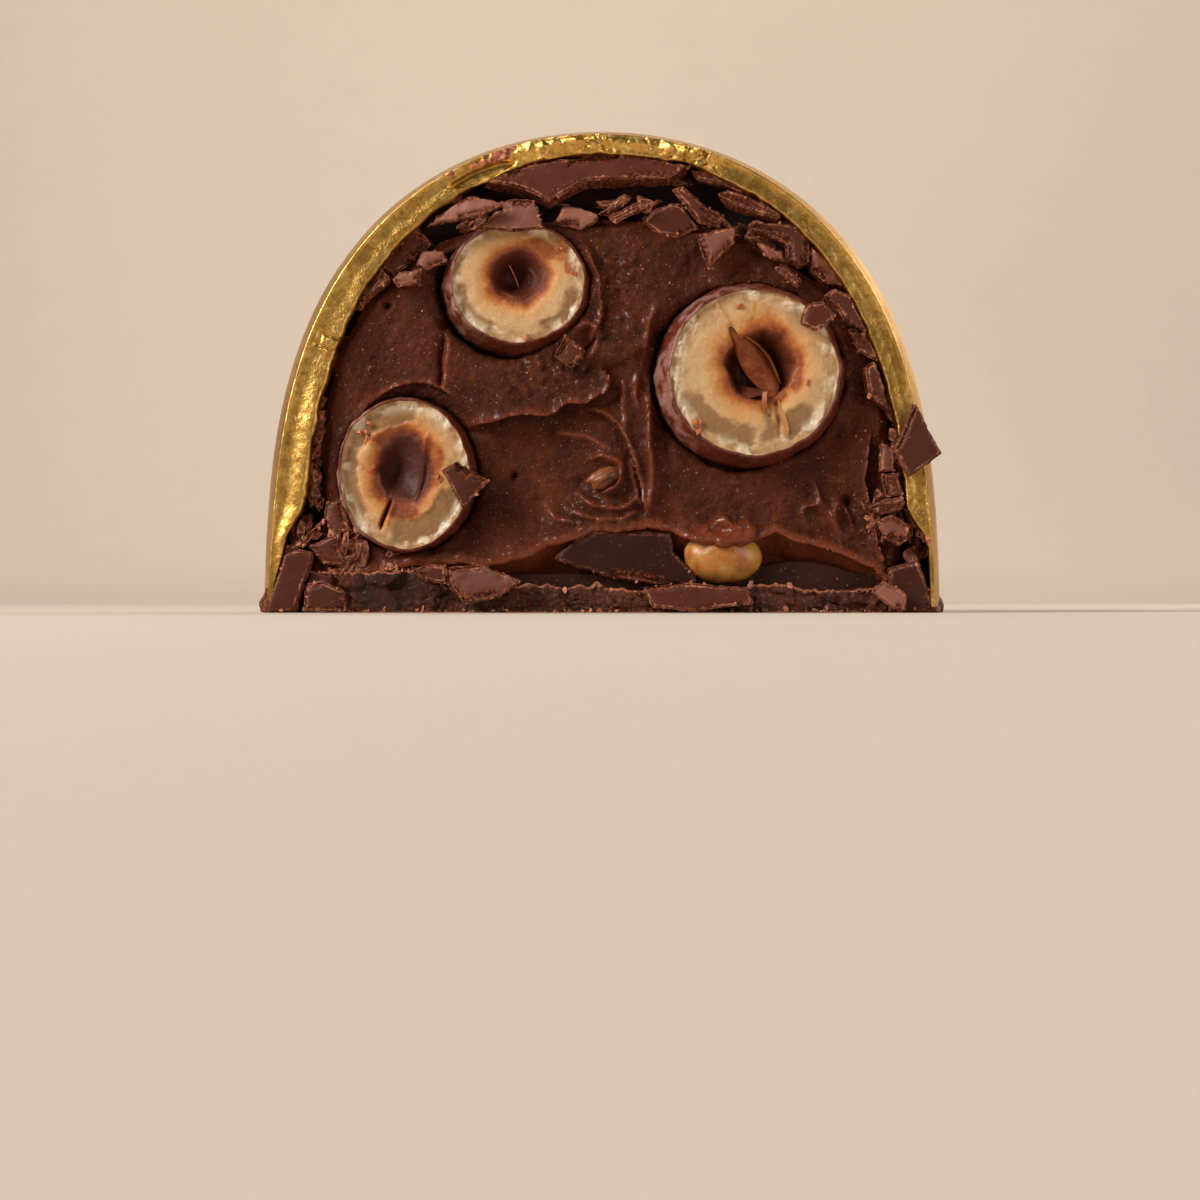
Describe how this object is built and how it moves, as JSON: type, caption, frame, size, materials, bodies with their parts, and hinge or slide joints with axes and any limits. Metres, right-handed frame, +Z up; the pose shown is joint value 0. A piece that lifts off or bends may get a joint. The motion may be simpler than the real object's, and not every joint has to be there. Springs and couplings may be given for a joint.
{
  "type": "chocolate bonbon",
  "caption": "Cut domed chocolate bonbon with a gold-coated shell, a soft dark filling, hazelnuts and broken chocolate pieces, standing on its flat base.",
  "frame": {"origin": "where the dome's axis meets the flat underside of the base", "axes": "+Z up along the dome's axis, the cut face looks along -Y, +X to its right"},
  "size_m": [0.0362, 0.0245, 0.0254],
  "materials": {
    "gold_coating": "satin gold coating with fine grain",
    "dark_chocolate": "satin dark chocolate",
    "snapped_chocolate": "smooth faces, crumbly paler edges",
    "filling": "soft, moist and finely speckled",
    "hazelnut": "cream flesh, toasted towards the hollow, brown skin",
    "blanched_nut": "toasted kernel without skin"
  },
  "bodies": {
    "root": {"gold_shell": "gold_coating", "chocolate_lining": "dark_chocolate", "chocolate_base": "dark_chocolate", "filling": "filling", "hazelnut_top": "hazelnut", "hazelnut_right": "hazelnut", "hazelnut_left": "hazelnut", "hazelnut_whole": "blanched_nut", "nut_chip": "blanched_nut", "crown_slab": "snapped_chocolate", "crown_sliver": "snapped_chocolate", "leaf": "snapped_chocolate", "plate": "snapped_chocolate", "rim_piece_left": "snapped_chocolate", "rim_tip_left": "snapped_chocolate", "crumb_left_high": "snapped_chocolate", "crumb_left_low": "snapped_chocolate", "cluster": "snapped_chocolate", "splinter_high": "snapped_chocolate", "splinter_low": "snapped_chocolate", "hump": "snapped_chocolate", "slant": "snapped_chocolate", "slant_back": "snapped_chocolate", "triangle": "snapped_chocolate", "ridge": "snapped_chocolate", "long_piece_right": "snapped_chocolate", "rim_piece_right": "snapped_chocolate", "chip_right_high": "snapped_chocolate", "chip_right_low": "snapped_chocolate", "rim_piece_right_mid": "snapped_chocolate", "rim_piece_right_low": "snapped_chocolate", "rim_sliver_right": "snapped_chocolate", "crumb_on_nut": "snapped_chocolate", "kite": "snapped_chocolate", "kite_chip": "snapped_chocolate", "block_right": "snapped_chocolate", "sliver_right_low": "snapped_chocolate", "crumb_right_low": "snapped_chocolate", "corner_right": "snapped_chocolate", "crumb_corner_right": "snapped_chocolate", "corner_left": "snapped_chocolate", "block_left_low": "snapped_chocolate", "block_left_high": "snapped_chocolate", "block_left_mid": "snapped_chocolate", "sliver_left_low": "snapped_chocolate", "flake_left": "snapped_chocolate", "plate_under_lip": "snapped_chocolate", "slab_on_base_left": "snapped_chocolate", "slab_on_base_right": "snapped_chocolate", "chip_on_base": "snapped_chocolate", "chip_on_nut": "snapped_chocolate", "chip_centre": "snapped_chocolate"}
  },
  "joints": []
}
